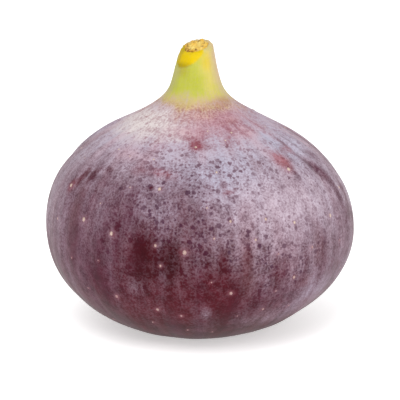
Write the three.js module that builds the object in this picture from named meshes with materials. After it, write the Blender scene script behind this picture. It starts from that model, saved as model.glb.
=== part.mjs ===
// A fresh fig, whole and picked, standing on its eye end with its cut stalk up.
// It grew as one piece, so it is one solid: a broad flattened body, a short neck and a stub
// of stalk with a sloping cut, and at the base a flat ring to rest on round the sunken eye.
//
// Millimetres, +Z up. The origin is the middle of the base of the bounding box, and -Y is the
// side that shows best.

import * as THREE from "three";

// Driving dimensions, in millimetres, and angles in degrees.
const BODY_RADIUS = 27.8; // at the widest ring of the body
const WIDEST_HEIGHT = 18.9; // of that ring above the surface that the fig stands on
const SEAT_RADIUS = 9.6; // outside of the flat resting ring
const EYE_RIM_RADIUS = 5; // inside of the flat resting ring
const EYE_RADIUS = 3.2; // of the sunken eye, where its scales close it
const EYE_DEPTH = 1.1; // from the resting ring up to the lowest part of the eye's floor
const EYE_PLUG = 0.5; // how far the closed scales bulge back down in the middle of the eye
const SHOULDER = { radius: 15.7, height: 36.6, slope: 151.5 }; // where the body turns into the neck
const NECK = { radius: 4.7, height: 44.7, slope: 111 }; // where the neck turns into the stalk
const STALK = { radius: 3.15, height: 50.9, slope: 103 }; // top of the stalk, under its cut edge
const CUT_RADIUS = 2.3; // of the cut face inside its rounded edge
const CUT_HEIGHT = 51.7; // of the cut face's edge, before it slopes
const CUT_SINK = 0.45; // how far the middle of the cut face lies below its edge

// How far each curve of the outline keeps to the direction it leaves or arrives in.
const EYE_FLOOR = { leave: 1.28, arrive: 2.56 }; // radii that keep the eye's floor flat
const EYE_LIP = { leave: 3.68, arrive: 4.25 }; // radii that round the eye's lip
const SEAT_PULL = 4; // outwards from the resting ring
const WIDEST_PULL = { below: 13.1, above: 9.7 }; // up and down from the widest ring
const SHOULDER_PULL = { below: 6.6, above: 7 };
const NECK_PULL = { below: 3.4, above: 1.6 };
const STALK_PULL = { below: 2, above: 0.5 };
const CUT_PULL = 0.4; // outwards from the edge of the cut face
const CUT_FLOOR = { leave: 1.38, arrive: 0.69 }; // radii that keep the middle of the cut face flat

const CUT_FALL = 0.34; // slope of the cut, as a fall per millimetre
const CUT_FALL_TOWARDS = 232; // the way the cut faces, anticlockwise from +X
const CUT_FROM = 47.5; // height above which the stalk is drawn along by that slope

const BULGE = 0.7; // how much further the body swells on its +X side than on the other
const BULGE_HEIGHT = 16; // where it swells most
const BULGE_SPAN = 13; // how far above and below that it reaches

const RIB_FADE = 8; // distance outside the resting ring over which the ribs rise

// Long ribs from neck to eye: how many waves round the body, how high, and how far turned.
const RIBS = [
  { waves: 2, height: 0.16, turn: 60 },
  { waves: 5, height: 0.13, turn: 60 },
  { waves: 9, height: 0.15, turn: 75 },
  { waves: 13, height: 0.12, turn: 140 },
];

const SIDES = 64; // facets round the fig
const ROWS = { eye: 3, lower: 10, upper: 10, shoulder: 8, stalk: 5, edge: 2, cut: 2 };

const SKIN = new THREE.MeshStandardMaterial({ name: "fig_skin", color: 0x75586b, roughness: 0.55, metalness: 0 });

const radians = THREE.MathUtils.degToRad;
const smoothstep = THREE.MathUtils.smoothstep;

/** A profile point: x is the distance from the axis and y the height. */
const point = ({ radius, height }) => new THREE.Vector2(radius, height);

/** The point that lies `length` from a landmark along the slope that the outline has there. */
function along(landmark, length) {
  const slope = radians(landmark.slope);
  return point(landmark).add(new THREE.Vector2(Math.cos(slope), Math.sin(slope)).multiplyScalar(length));
}

/** The outline from the middle of the eye, out round the body and up to the middle of the cut. */
function outline() {
  const curve = (rows, ...points) => new THREE.CubicBezierCurve(...points).getPoints(rows);
  const widest = new THREE.Vector2(BODY_RADIUS, WIDEST_HEIGHT);
  const seat = new THREE.Vector2(SEAT_RADIUS, 0);
  const eyeRim = new THREE.Vector2(EYE_RIM_RADIUS, 0);
  const eyeMiddle = new THREE.Vector2(0, EYE_DEPTH - EYE_PLUG);
  const eyeEdge = new THREE.Vector2(EYE_RADIUS, EYE_DEPTH);
  const stalkTop = point(STALK);
  const cutEdge = new THREE.Vector2(CUT_RADIUS, CUT_HEIGHT);
  const cutMiddle = new THREE.Vector2(0, CUT_HEIGHT - CUT_SINK);

  const pieces = [
    curve(ROWS.eye, eyeMiddle, new THREE.Vector2(EYE_FLOOR.leave, eyeMiddle.y),
      new THREE.Vector2(EYE_FLOOR.arrive, EYE_DEPTH), eyeEdge),
    curve(ROWS.eye, eyeEdge, new THREE.Vector2(EYE_LIP.leave, EYE_DEPTH),
      new THREE.Vector2(EYE_LIP.arrive, 0), eyeRim),
    [eyeRim, seat],
    curve(ROWS.lower, seat, new THREE.Vector2(SEAT_RADIUS + SEAT_PULL, 0),
      new THREE.Vector2(BODY_RADIUS, WIDEST_HEIGHT - WIDEST_PULL.below), widest),
    curve(ROWS.upper, widest, new THREE.Vector2(BODY_RADIUS, WIDEST_HEIGHT + WIDEST_PULL.above),
      along(SHOULDER, -SHOULDER_PULL.below), point(SHOULDER)),
    curve(ROWS.shoulder, point(SHOULDER), along(SHOULDER, SHOULDER_PULL.above),
      along(NECK, -NECK_PULL.below), point(NECK)),
    curve(ROWS.stalk, point(NECK), along(NECK, NECK_PULL.above), along(STALK, -STALK_PULL.below), stalkTop),
    curve(ROWS.edge, stalkTop, along(STALK, STALK_PULL.above),
      new THREE.Vector2(CUT_RADIUS + CUT_PULL, CUT_HEIGHT), cutEdge),
    curve(ROWS.cut, cutEdge, new THREE.Vector2(CUT_FLOOR.leave, cutMiddle.y),
      new THREE.Vector2(CUT_FLOOR.arrive, cutMiddle.y), cutMiddle),
  ];
  return pieces.flatMap((piece, i) => (i === 0 ? piece : piece.slice(1)));
}

/** How far the ribs lift the skin at a bearing and height: most on the flanks, none at the ends. */
function ribLift(bearing, radius, height) {
  const wave = RIBS.reduce((sum, rib) => sum + rib.height * Math.cos(rib.waves * bearing + radians(rib.turn)), 0);
  const clearOfSeat = smoothstep(radius, SEAT_RADIUS, SEAT_RADIUS + RIB_FADE);
  const clearOfNeck = 1 - smoothstep(height, SHOULDER.height, NECK.height);
  return wave * clearOfSeat * clearOfNeck;
}

/** Turns the round fig into a grown one: ribbed, fuller on one side and cut on the slope. */
function shapeSkin(geometry) {
  const places = geometry.getAttribute("position");
  const fall = new THREE.Vector2(Math.cos(radians(CUT_FALL_TOWARDS)), Math.sin(radians(CUT_FALL_TOWARDS)));
  for (let i = 0; i < places.count; i++) {
    const level = new THREE.Vector2(places.getX(i), places.getY(i));
    const height = places.getZ(i);
    const radius = level.length();
    const bearing = Math.atan2(level.y, level.x);
    const drop = CUT_FALL * fall.dot(level) * smoothstep(height, CUT_FROM, CUT_HEIGHT);
    if (radius > 0) level.multiplyScalar(1 + ribLift(bearing, radius, height) / radius);
    level.x += BULGE * Math.exp(-(((height - BULGE_HEIGHT) / BULGE_SPAN) ** 2));
    places.setXYZ(i, level.x, level.y, height - drop);
  }
}

/** Moves the fig sideways so that the origin is under the middle of its bounding box. */
function centre(geometry) {
  geometry.computeBoundingBox();
  const middle = geometry.boundingBox.getCenter(new THREE.Vector3());
  geometry.translate(-middle.x, -middle.y, 0);
}

function makeFig() {
  const geometry = new THREE.LatheGeometry(outline(), SIDES);
  geometry.rotateX(Math.PI / 2);
  shapeSkin(geometry);
  centre(geometry);
  geometry.computeVertexNormals();
  const fig = new THREE.Mesh(geometry, SKIN);
  fig.name = "fig";
  return fig;
}

const root = new THREE.Group();
root.add(makeFig());

export default root;
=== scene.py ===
"""A fresh fig, whole and picked, standing on its eye end with its cut stalk up.

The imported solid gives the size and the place. The looks are four pieces that ride on its one
body: the skin with its waxy bloom, the pale lenticels on it, the torn face of the cut stalk, and
the scales that close the eye underneath. Sizes are in millimetres until a mesh is handed to
Blender, +Z is up, and a bearing is in degrees from the front (-Y), growing towards +X.
"""

from __future__ import annotations

import logging
import math
import random
from dataclasses import dataclass, field
from enum import Enum
from functools import partial
from typing import Callable, Iterable, Sequence

import bmesh
import bpy
import numpy as np
from mathutils import Matrix, Vector
from mathutils.bvhtree import BVHTree


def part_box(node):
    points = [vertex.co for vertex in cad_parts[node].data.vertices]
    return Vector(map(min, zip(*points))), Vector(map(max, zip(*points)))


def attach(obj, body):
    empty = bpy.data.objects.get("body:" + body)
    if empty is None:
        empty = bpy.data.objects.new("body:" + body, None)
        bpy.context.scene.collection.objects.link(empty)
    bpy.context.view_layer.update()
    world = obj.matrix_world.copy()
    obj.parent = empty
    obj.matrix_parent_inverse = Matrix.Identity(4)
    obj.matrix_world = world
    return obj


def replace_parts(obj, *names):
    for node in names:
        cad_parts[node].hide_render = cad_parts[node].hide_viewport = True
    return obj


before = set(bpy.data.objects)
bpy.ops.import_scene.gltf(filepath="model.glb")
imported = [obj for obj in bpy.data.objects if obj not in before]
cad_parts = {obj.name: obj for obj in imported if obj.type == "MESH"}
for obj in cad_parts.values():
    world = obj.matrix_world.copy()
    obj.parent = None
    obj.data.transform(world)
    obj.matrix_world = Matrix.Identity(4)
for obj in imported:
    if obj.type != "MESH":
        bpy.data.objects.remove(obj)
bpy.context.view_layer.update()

LOG = logging.getLogger("fig")
MM = 0.001  # a millimetre in Blender's metres
NODE = "fig"
BODY = "root"
BAKE_MAP = "OFBake"  # the skin's own UV map
ORIGIN, UPRIGHT = (0, 0, 0), (0, 0, 1)

Socket = bpy.types.NodeSocket
Adder = Callable[..., bpy.types.Node]  # what adds a node to one material's tree


class Hue(Enum):
    """The fig's colours, as sRGB hex, named for where they are met; a few also stand in for painted shade
    or a painted reflection, as noted.
    """

    WINE = "420c17"  # bare ripe skin
    DEEP_WINE = "34070f"  # bare skin in the hollows of the ribs
    RED_WINE = "50141f"
    # the base's own browner wine, made darker still as painted shade on the base
    BASE_WINE_AND_SHADE = "3e141a"  # round the base
    PLUM = "4c2233"  # under the thin bloom of the flanks
    SLATE = "40293f"  # in the drop marks of the crown
    BROWN = "5d3a3c"  # dry brown streaks
    RED = "7d2c36"  # thinner colour on the shoulder
    ROSE = "94565c"
    CORAL = "c69a7e"  # where the red meets the green
    TAN = "c6ad74"
    LIME = "adb03c"  # the neck
    PALE_YELLOW = "c8bb5e"
    GREY_GREEN = "a8a462"
    CREAM_SKIN = "c6b084"
    PINK_SKIN = "c29c86"
    RUST = "a87a52"
    # painted shade: under the ledge at the foot of the peeled band and down the stalk's left side
    SAP_YELLOW = "d2b408"  # the peeled edge of the cut
    OLIVE_SHADE = "94820f"
    LILAC_WAX = "b0a2b0"  # bloom
    BLUE_WAX = "aaa8ba"
    CREAM_WAX = "d3cac8"
    PINK_WAX = "b8a6b1"
    # painted reflection: the pale grey rim that the white surround lays on the fig's edges
    RIM_REFLECTION_GREY = "b4acb2"
    ROSY_WAX = "bc929a"
    THIN_WAX = "a68c9b"  # a film of bloom, through which the wine red shows
    HALO = "94606a"  # round a lenticel
    LENTICEL = "d2baab"
    PITH = "f2dc7e"  # the face of the cut
    AMBER = "deae38"
    FIBRE = "8a5518"
    SCAR = "4a2509"
    SCALE = "6e3b2c"
    SCALE_TIP = "2a120f"
    PAPER = "fafafa"


def linear(hue: Hue) -> tuple[float, float, float, float]:
    """Turns an sRGB hex colour into the linear RGBA that nodes and attributes hold.

    Args:
        hue: One of the fig's colours.

    Returns:
        Red, green, blue and an alpha of 1.
    """
    channels = [int(hue.value[i : i + 2], 16) / 255 for i in (0, 2, 4)]
    bent = [c / 12.92 if c <= 0.04045 else ((c + 0.055) / 1.055) ** 2.4 for c in channels]
    return (bent[0], bent[1], bent[2], 1.0)


def rgb(hue: Hue) -> np.ndarray:
    """The hue's three linear channels."""
    return np.array(linear(hue)[:3])


def over(colours: np.ndarray, hue: Hue, share: np.ndarray) -> np.ndarray:
    """Lays one hue over colours, as far as each vertex's share says."""
    return colours * (1 - share[:, None]) + rgb(hue) * share[:, None]


def smoothstep(value: np.ndarray | float, low: float, high: float) -> np.ndarray:
    """A smooth rise from 0 at low to 1 at high, or a fall if low is the greater."""
    share = np.clip((np.asarray(value, float) - low) / (high - low), 0.0, 1.0)
    return share * share * (3 - 2 * share)


def per_mm(size: float) -> float:
    """The scale of a pattern whose bumps or cells have this size in millimetres."""
    return 1 / (size * MM)


def plug(node: bpy.types.Node, sockets: dict) -> None:
    """Fills a node's inputs.

    Args:
        node: The node.
        sockets: What each input holds, by identifier, name or index: a value, an output to link,
            or a node, whose first output in use is linked.
    """
    known = {socket.identifier: socket for socket in node.inputs}
    for name, value in sockets.items():
        socket = known.get(name) or node.inputs[name]
        if isinstance(value, bpy.types.Node):
            value = next(output for output in value.outputs if output.enabled)
        if isinstance(value, Socket):
            node.id_data.links.new(value, socket)
        else:
            socket.default_value = value


def put(
    tree: bpy.types.NodeTree, kind: str, sockets: dict | Sequence = (), **settings
) -> bpy.types.Node:
    """Adds a node to a tree, with its settings, its socket values and its links.

    Args:
        tree: The material's node tree.
        kind: The node's type name, without the "ShaderNode" that they all start with.
        sockets: What the inputs hold, as plug takes it, or a plain sequence for the first few.
        settings: The node's own properties.

    Returns:
        The new node.
    """
    node = tree.nodes.new("ShaderNode" + kind)
    for name, value in settings.items():
        setattr(node, name, value)
    plug(node, sockets if isinstance(sockets, dict) else dict(enumerate(sockets)))
    return node


def relief(places: np.ndarray, grain: float, seed: int) -> np.ndarray:
    """Smooth gradient noise at each place, from about -1 to 1, the same on every run.

    Args:
        places: One place a row, in millimetres.
        grain: The size of its bumps, in millimetres.
        seed: Two patterns with different seeds differ.

    Returns:
        One value for each place.
    """
    side = 64  # of the block of slopes, which then repeats
    shift, spread = 0.37 * seed, 1.6
    slopes = np.random.default_rng(seed).normal(size=(side, side, side, 3))
    slopes /= np.linalg.norm(slopes, axis=3, keepdims=True)
    scaled = places / grain + shift
    corner = np.floor(scaled).astype(int)
    inside = scaled - corner
    ease = inside**3 * (inside * (inside * 6 - 15) + 10)
    total = np.zeros(len(places))
    for step in np.ndindex(2, 2, 2):
        at = (corner + step) % side
        slope = slopes[at[:, 0], at[:, 1], at[:, 2]]
        share = np.prod(np.where(np.array(step) == 1, ease, 1 - ease), axis=1)
        total += share * np.einsum("ij,ij->i", slope, inside - step)
    return total * spread


class Seam:
    """Finished bmesh work: closes doubles, turns faces outwards and hands the mesh over in metres."""

    @staticmethod
    def finish(shape: bmesh.types.BMesh, name: str, merge: float = 1e-4) -> bpy.types.Object:
        """Makes a smooth-shaded object at the origin from a bmesh in millimetres.

        Args:
            shape: The bmesh, which is freed.
            name: What the piece is called.
            merge: How close two vertices are, in millimetres, to be one.

        Returns:
            The object, linked to the scene.
        """
        bmesh.ops.remove_doubles(shape, verts=shape.verts, dist=merge)
        bmesh.ops.recalc_face_normals(shape, faces=shape.faces)
        bmesh.ops.scale(shape, vec=(MM, MM, MM), verts=shape.verts)
        for face in shape.faces:
            face.smooth = True
        mesh = bpy.data.meshes.new(name)
        shape.to_mesh(mesh)
        shape.free()
        piece = bpy.data.objects.new(name, mesh)
        bpy.context.scene.collection.objects.link(piece)
        return piece


def place_of(mesh: bpy.types.Mesh) -> np.ndarray:
    """The mesh's vertices in millimetres, one a row."""
    flat = np.empty(len(mesh.vertices) * 3)
    mesh.vertices.foreach_get("co", flat)
    return flat.reshape(-1, 3) / MM


def move_to(mesh: bpy.types.Mesh, places: np.ndarray) -> None:
    """Puts the mesh's vertices at these places, in millimetres."""
    mesh.vertices.foreach_set("co", (places * MM).ravel())
    mesh.update()


def read_value(mesh: bpy.types.Mesh, name: str) -> np.ndarray:
    """The number that each vertex holds under this name."""
    values = np.empty(len(mesh.vertices), np.float32)
    mesh.attributes[name].data.foreach_get("value", values)
    return values.astype(float)


def paint_value(mesh: bpy.types.Mesh, name: str, values: np.ndarray) -> None:
    """Stores one number for each vertex, for a material to read."""
    layer = mesh.attributes.new(name, "FLOAT", "POINT")
    layer.data.foreach_set("value", values.astype(np.float32))


def paint_colour(mesh: bpy.types.Mesh, name: str, colours: np.ndarray) -> None:
    """Stores one linear RGB colour for each vertex, for a material to read."""
    layer = mesh.attributes.new(name, "FLOAT_COLOR", "POINT")
    full = np.concatenate([colours, np.ones((len(colours), 1))], axis=1)
    layer.data.foreach_set("color", full.astype(np.float32).ravel())


# ---------------------------------------------------------------------------- the outline


@dataclass(frozen=True)
class Landmark:
    """A point of the outline and the slope that the outline has there, in degrees."""

    radius: float
    height: float
    slope: float

    def along(self, length: float) -> tuple[float, float]:
        """The point at this length from the landmark, along its slope."""
        turn = math.radians(self.slope)
        return (self.radius + math.cos(turn) * length, self.height + math.sin(turn) * length)

    @property
    def point(self) -> tuple[float, float]:
        """Radius and height."""
        return (self.radius, self.height)


@dataclass(frozen=True)
class Sweep:
    """One stretch of the outline: a cubic curve through four points, cut into rows."""

    start: tuple[float, float]
    leave: tuple[float, float]
    arrive: tuple[float, float]
    end: tuple[float, float]
    rows: int

    def at(self, share: float) -> Vector:
        """The place at this share of the way, in the plane of +X and +Z."""
        rest = 1 - share
        weights = (rest**3, 3 * rest**2 * share, 3 * rest * share**2, share**3)
        corners = (self.start, self.leave, self.arrive, self.end)
        x = sum(w * c[0] for w, c in zip(weights, corners))
        z = sum(w * c[1] for w, c in zip(weights, corners))
        return Vector((x, 0, z))

    def length(self, share: float = 1.0) -> float:
        """Length of the curve up to this share of the way."""
        steps = 24
        places = [self.at(share * i / steps) for i in range(steps + 1)]
        return sum((b - a).length for a, b in zip(places, places[1:]))


@dataclass(frozen=True)
class Outline:
    """The fig's outline from the middle of the eye out round the body and up to the cut."""

    body_radius: float = 27.8
    widest_height: float = 18.9
    seat_radius: float = 9.6
    eye_rim: float = 5.0
    eye_radius: float = 3.2
    eye_depth: float = 1.1
    shoulder: Landmark = Landmark(15.7, 36.6, 151.5)
    neck: Landmark = Landmark(4.7, 44.7, 111)
    stalk: Landmark = Landmark(3.15, 50.9, 103)
    cut_radius: float = 2.3
    cut_height: float = 51.7
    pocket_radius: float = 1.9
    pocket_depth: float = 0.9
    pull_down: float = 13.1  # how far the widest place keeps the side upright, below and above it
    pull_up: float = 9.7

    def sweeps(self) -> list[Sweep]:
        """The stretches of the outline in order, each meeting the next end to end."""
        widest = (self.body_radius, self.widest_height)
        seat, rim = (self.seat_radius, 0.0), (self.eye_rim, 0.0)
        eye_edge = (self.eye_radius, self.eye_depth)
        cut = (self.cut_radius, self.cut_height)
        floor = self.cut_height - self.pocket_depth
        below_widest = (self.body_radius, self.widest_height - self.pull_down)
        above_widest = (self.body_radius, self.widest_height + self.pull_up)
        foot, top = self.shoulder.point, self.stalk.point
        cut_corner = (self.cut_radius + 0.4, self.cut_height)
        return [
            Sweep((0.0, self.eye_depth), (1.1, self.eye_depth), (2.1, self.eye_depth), eye_edge, 6),
            Sweep(eye_edge, (3.7, self.eye_depth), (4.25, 0.0), rim, 8),
            Sweep(rim, (6.5, 0.0), (8.1, 0.0), seat, 8),
            Sweep(seat, (self.seat_radius + 4, 0.0), below_widest, widest, 70),
            Sweep(widest, above_widest, self.shoulder.along(-6.6), foot, 58),
            Sweep(foot, self.shoulder.along(7), self.neck.along(-3.4), self.neck.point, 44),
            Sweep(self.neck.point, self.neck.along(1.6), self.stalk.along(-2), top, 28),
            Sweep(top, self.stalk.along(0.5), cut_corner, cut, 10),
            Sweep(cut, (2.15, self.cut_height), (2.05, floor + 0.3), (self.pocket_radius, floor), 4),
            Sweep((self.pocket_radius, floor), (1.2, floor), (0.6, floor), (0.0, floor), 3),
        ]

    def line(self, shape: bmesh.types.BMesh) -> None:
        """Lays the outline into a bmesh: one edge a stretch, cut into rows that are drawn to its curve.

        Each vertex also holds its length along the outline, under the name "along".

        Args:
            shape: The bmesh to lay it in.
        """
        along = shape.verts.layers.float.new("along")
        passed = 0.0
        for sweep in self.sweeps():
            start, end = sweep.at(0), sweep.at(1)
            edge = shape.edges.new((shape.verts.new(start), shape.verts.new(end)))
            bmesh.ops.subdivide_edges(shape, edges=[edge], cuts=sweep.rows - 1)
            shape.verts.ensure_lookup_table()
            for vert in shape.verts[-sweep.rows - 1 :]:
                share = (vert.co - start).length / (end - start).length
                vert.co = sweep.at(share)
                vert[along] = passed + sweep.length(share)
            passed += sweep.length()
        bmesh.ops.remove_doubles(shape, verts=shape.verts, dist=1e-5)

    def ladder(self) -> tuple[list[float], list[float]]:
        """Heights from the seat up to the cut, each with its length along the outline."""
        heights, lengths = [], []
        steps, nudge = 40, 1e-6  # which keeps the heights rising where the outline lies level
        sweeps = self.sweeps()
        eye, side = sweeps[:3], sweeps[3:8]  # as far as the seat, and from there to the cut's rim
        passed = sum(sweep.length() for sweep in eye)
        for sweep in side:
            for step in range(steps):
                heights.append(sweep.at(step / steps).z + nudge * len(heights))
                lengths.append(passed + sweep.length(step / steps))
            passed += sweep.length()
        return heights, lengths


# ---------------------------------------------------------------------------- painting the skin


@dataclass(frozen=True)
class Stroke:
    """One dab or streak on the skin, in the round: where it is, how big, how strong and how crisp."""

    name: str
    bearing: float
    height: float
    width: float  # half of it, across, in millimetres
    length: float  # half of it, up and down the skin, in millimetres
    strength: float = 1.0
    tilt: float = 0.0  # degrees, its top leaning towards a greater bearing
    soft: float = 0.8  # 1 fades all the way from the middle, 0.2 has a crisp edge
    hue: Hue | None = None


RAGGED_EDGE = 0.45  # how far a stroke's edge strays, as a share of its size


class Canvas:
    """The skin laid out by bearing and by length along the outline, ready to be painted."""

    def __init__(self, places: np.ndarray, along: np.ndarray, outline: Outline, axis_x: float) -> None:
        """Measures each vertex.

        Args:
            places: The vertices in millimetres.
            along: Their lengths along the outline.
            outline: Gives the length that a height stands for.
            axis_x: Where the fig's own axis stands, in millimetres.
        """
        self.heights, self.lengths = outline.ladder()
        across = places[:, 0] - axis_x
        self.bearing = np.degrees(np.arctan2(across, -places[:, 1]))
        self.radius = np.hypot(across, places[:, 1])
        self.height = places[:, 2]
        self.along = along
        streaky = self.drawn_out(0.25)
        # Coarse, fine and streaky noise roughens every edge; more of it drifts from cool to warm.
        self.ragged = 0.6 * relief(places, 2.4, 3) + 0.4 * relief(places, 0.9, 4)
        self.ragged += 0.5 * relief(streaky, 1.3, 5)
        drift = relief(streaky, 3.6, 6)
        self.cool, self.warm = np.clip(drift, 0, 1), np.clip(-drift, 0, 1)

    def drawn_out(self, squeeze: float) -> np.ndarray:
        """Each vertex's place on a cylinder squeezed in height: noise there makes upright streaks."""
        turn, radius = np.radians(self.bearing), 28.0
        return np.stack([radius * np.sin(turn), radius * np.cos(turn), squeeze * self.height], axis=1)

    def cover(self, stroke: Stroke) -> np.ndarray:
        """How far a stroke covers each vertex, from 0 to its strength."""
        LOG.debug("stroke: %s", stroke.name)
        turn = (self.bearing - stroke.bearing + 180) % 360 - 180
        across = np.radians(turn) * np.maximum(self.radius, 0.5)
        up = self.along - np.interp(stroke.height, self.heights, self.lengths)
        lean = math.radians(stroke.tilt)
        side = across * math.cos(lean) - up * math.sin(lean)
        rise = across * math.sin(lean) + up * math.cos(lean)
        distance = np.hypot(side / stroke.width, rise / stroke.length) + RAGGED_EDGE * self.ragged
        return stroke.strength * smoothstep(distance, 1 + stroke.soft, 1 - stroke.soft)

    def tint(self, colours: np.ndarray, strokes: Iterable[Stroke]) -> np.ndarray:
        """Lays coloured strokes over colours, each over the ones before."""
        for stroke in strokes:
            colours = over(colours, stroke.hue, self.cover(stroke))
        return colours

    def lay(self, values: np.ndarray, strokes: Iterable[Stroke]) -> np.ndarray:
        """Thickens values towards 1 where strokes lie, or rubs them towards 0 by a negative strength."""
        for stroke in strokes:
            share = self.cover(stroke)
            values = np.where(share >= 0, values + (1 - values) * share, values * (1 + share))
        return values

    def climb(self, steps: Sequence[tuple[float, float]], wander: float = 0.0) -> np.ndarray:
        """A value by height, through steps whose borders wander up and down by some millimetres."""
        return np.interp(self.height + wander * self.ragged, *zip(*steps))

    def blend(self, steps: Sequence[tuple[float, Hue]], wander: float) -> np.ndarray:
        """Colour by height, through these steps from low to high.

        Args:
            steps: A height and its colour each.
            wander: How far the borders wander up and down, in millimetres.

        Returns:
            One linear colour for each vertex.
        """
        levels = [[(mark, linear(hue)[i]) for mark, hue in steps] for i in range(3)]
        return np.stack([self.climb(level, wander) for level in levels], axis=1)


# The colour under the bloom by height. Its lowest steps are kept dark partly as painted shade on the
# base.
UNDER_STEPS = [
    (0.0, Hue.BASE_WINE_AND_SHADE),
    (6.0, Hue.BASE_WINE_AND_SHADE),
    (10.0, Hue.WINE),
    (32.0, Hue.WINE),
    (35.5, Hue.RED_WINE),
    (37.8, Hue.RED),
    (39.4, Hue.ROSE),
    (40.6, Hue.CORAL),
    (42.2, Hue.TAN),
    (44.6, Hue.LIME),
    (52.0, Hue.LIME),
]

UNDER_STROKES = [
    Stroke("plum left flank", -58, 26, 12, 9, 0.7, hue=Hue.PLUM),
    Stroke("plum right flank", 60, 20, 14, 11, 0.5, hue=Hue.PLUM),
    Stroke("plum right shoulder", 72, 34, 6, 8, 0.9, hue=Hue.PLUM),
    Stroke("red low front", 4, 12.5, 9, 4, 0.4, hue=Hue.RED_WINE),
    Stroke("red low left", -16, 9, 7, 3, 0.6, hue=Hue.RED_WINE),
    Stroke("darkest left", -20, 19, 2.2, 4.5, 0.8, hue=Hue.DEEP_WINE),
    Stroke("darkest middle", -9, 19.5, 2.2, 3.5, 0.9, hue=Hue.DEEP_WINE),
    Stroke("brown streak far left", -55, 22, 1.8, 7, 0.7, hue=Hue.BROWN),
    Stroke("red rub round the far left dot", -63, 28.9, 0.9, 1.4, 0.5, tilt=12, hue=Hue.RED),
    Stroke("red rub far left", -59, 30.8, 0.8, 1.8, 0.7, tilt=12, hue=Hue.RED_WINE),
    Stroke("brown streak right of the middle", 20, 18, 1.4, 6, 0.4, hue=Hue.BROWN),
    Stroke("brown streak on the right", 50, 20, 1.4, 4.5, 0.4, hue=Hue.BROWN),
    Stroke("plum crown", 4, 31, 12, 6, 0.5, hue=Hue.PLUM),
    Stroke("plum left of the middle", -22, 28, 5, 4, 0.4, hue=Hue.PLUM),
    Stroke("plum low left", -52, 17, 9, 8, 0.7, hue=Hue.PLUM),
    Stroke("plum low right", 50, 11, 10, 5, 0.6, hue=Hue.PLUM),
    Stroke("red spot under the neck", 0, 37.0, 1.5, 1.5, 0.9, soft=0.4, hue=Hue.RED),
    Stroke("rose streak on the right shoulder", 48.5, 34.0, 1.7, 3.0, 0.95, tilt=-6, hue=Hue.ROSE),
    Stroke("red patch under the neck", -2, 37.9, 2.2, 1.0, 0.7, hue=Hue.RED),
    Stroke("red ray from the neck", 30, 38.6, 0.7, 2.4, 0.8, tilt=-8, hue=Hue.RED),
    Stroke("second red ray from the neck", 41, 38.2, 0.6, 2.6, 0.8, tilt=-10, hue=Hue.RED),
    Stroke("third red ray from the neck", 50, 38.6, 0.6, 1.8, 0.7, tilt=-6, hue=Hue.RED),
    Stroke("plum end of the rose streak", 51, 31.4, 0.8, 1.4, 0.6, tilt=-12, hue=Hue.PLUM),
    Stroke("pink beside the rose streak", 60, 34.9, 1.8, 1.2, 0.6, hue=Hue.ROSE),
    Stroke("red low right", 44, 13.6, 2.2, 1.2, 0.8, hue=Hue.RED_WINE),
    Stroke("rose scratch", 26, 37.8, 1.8, 0.9, 0.8, tilt=-35, soft=0.4, hue=Hue.RED),
    Stroke("oval on the crown", 12, 31.7, 1.2, 0.8, 0.7, hue=Hue.PLUM),
    Stroke("second oval on the crown", 14, 30.6, 1.1, 0.7, 0.7, hue=Hue.RED),
    Stroke("third oval on the crown", 15, 29.7, 1.0, 0.7, 0.7, hue=Hue.PLUM),
    Stroke("oval left of the crown", -15, 33.0, 2.0, 1.0, 0.8, hue=Hue.RED),
    Stroke("pink patch high left", -27, 33.6, 2.4, 1.4, 0.4, hue=Hue.RED),
    Stroke("smudge right of the crown", 33, 34, 2.0, 1.8, 0.8, hue=Hue.BROWN),
    Stroke("rose foot of the neck, right", 42, 40.3, 3.0, 1.4, 0.7, hue=Hue.ROSE),
    Stroke("coral foot of the neck", 3, 40.9, 2.6, 1.2, 0.7, hue=Hue.CORAL),
    Stroke("rose patch under the neck", 10, 38.6, 2.6, 1.2, 0.6, hue=Hue.ROSE),
    Stroke("pale right side of the stalk", 45, 47.6, 1.9, 4.5, 0.95, hue=Hue.PALE_YELLOW),
    Stroke("cream right side of the stalk", 82, 48.0, 1.8, 5.0, 0.9, hue=Hue.CREAM_SKIN),
    Stroke("pink right edge of the stalk", 98, 49.0, 1.2, 3.6, 0.6, soft=1.0, hue=Hue.PINK_SKIN),
    Stroke("yellow by the band", 36, 49.4, 0.9, 1.6, 0.6, hue=Hue.SAP_YELLOW),
    # Painted shade under the ledge of the peeled band.
    Stroke("olive under the band", -44, 47.7, 1.5, 0.9, 0.6, hue=Hue.OLIVE_SHADE),
    Stroke("rusty foot of the neck, right", 48, 42.3, 2.2, 1.0, 0.7, hue=Hue.RUST),
    Stroke("grey left side of the stalk", -78, 46.5, 1.7, 4.0, 0.8, hue=Hue.GREY_GREEN),
    Stroke("green left of the stalk's middle", -22, 46.0, 1.7, 3.0, 0.5, hue=Hue.LIME),
]

# How thick the bloom lies by height. The lowest steps are kept thin partly as painted shade, which
# darkens the base.
BLOOM_STEPS = [
    (0.0, 0.01),
    (6.0, 0.02),
    (10.0, 0.04),
    (14.0, 0.07),
    (22.0, 0.10),
    (26.0, 0.15),
    (29.0, 0.24),
    (31.0, 0.38),
    (33.0, 0.58),
    (35.0, 0.76),
    (37.0, 0.87),
    (39.6, 0.80),
    (41.0, 0.55),
    (42.2, 0.30),
    (43.2, 0.16),
    (44.4, 0.06),
    (52.0, 0.02),
]

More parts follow.
